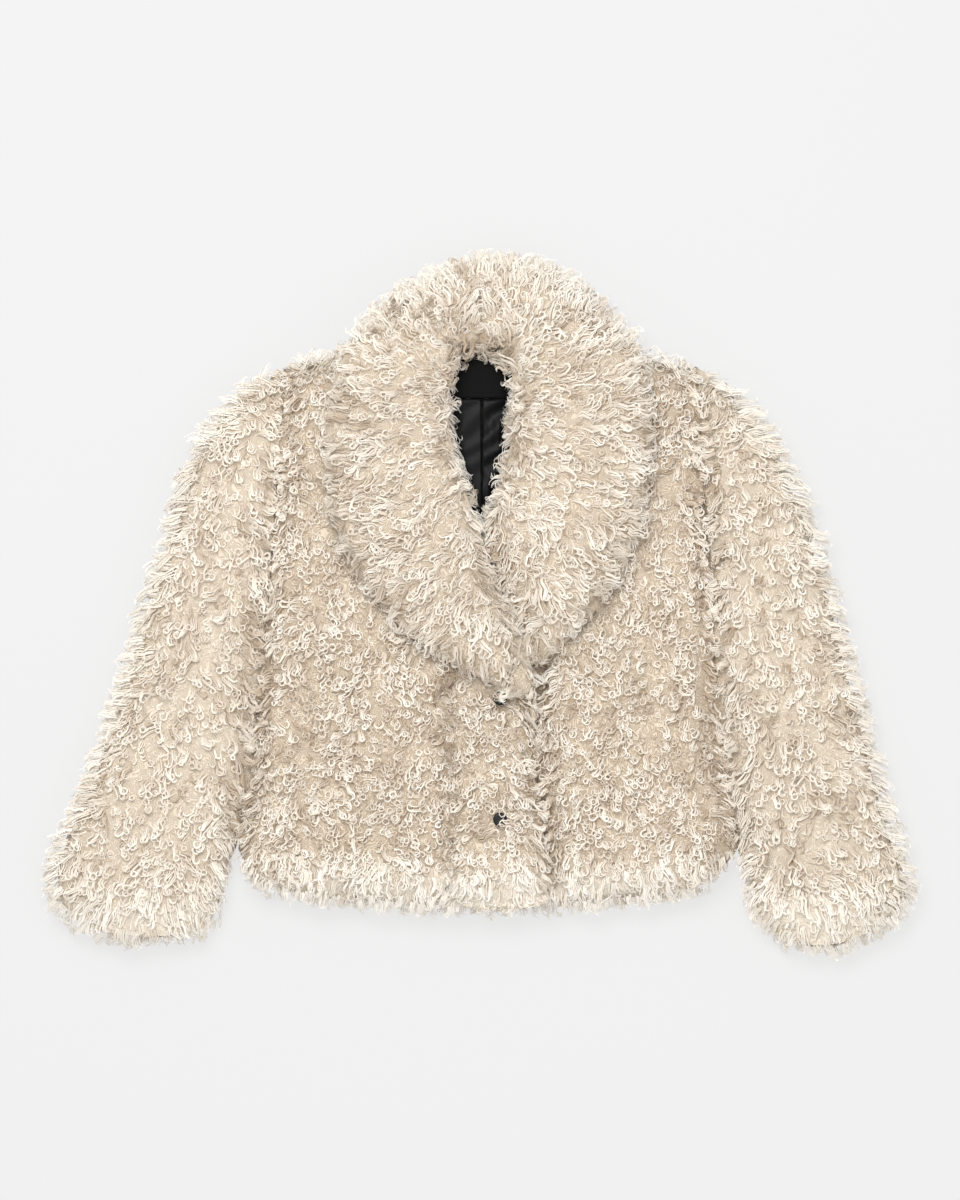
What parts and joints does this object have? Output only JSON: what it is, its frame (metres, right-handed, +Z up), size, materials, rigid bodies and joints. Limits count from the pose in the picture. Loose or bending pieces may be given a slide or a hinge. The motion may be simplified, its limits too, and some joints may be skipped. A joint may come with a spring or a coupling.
{
  "type": "faux fur coat",
  "caption": "Short faux fur coat with a shawl collar and an overlapping snap front, lying flat on its back.",
  "frame": {"origin": "middle of the coat's box, on the surface that it lies on", "axes": "+X to the wearer's left, across the sleeves; +Y from the hem to the neck; +Z up, out of the front"},
  "size_m": [0.8604, 0.693, 0.098],
  "materials": {
    "fur": "long curly cream pile on a knitted backing",
    "facing": "black twill",
    "lining": "black satin",
    "button": "black gloss"
  },
  "bodies": {
    "root": {"back": "fur", "front_right": "fur", "front_left": "fur", "sleeve_right": "fur", "sleeve_left": "fur", "collar_right": "fur", "collar_left": "fur", "neck_facing": "facing", "lining_right": "lining", "lining_left": "lining", "button_lower": "button", "button_upper": "button"}
  },
  "joints": []
}
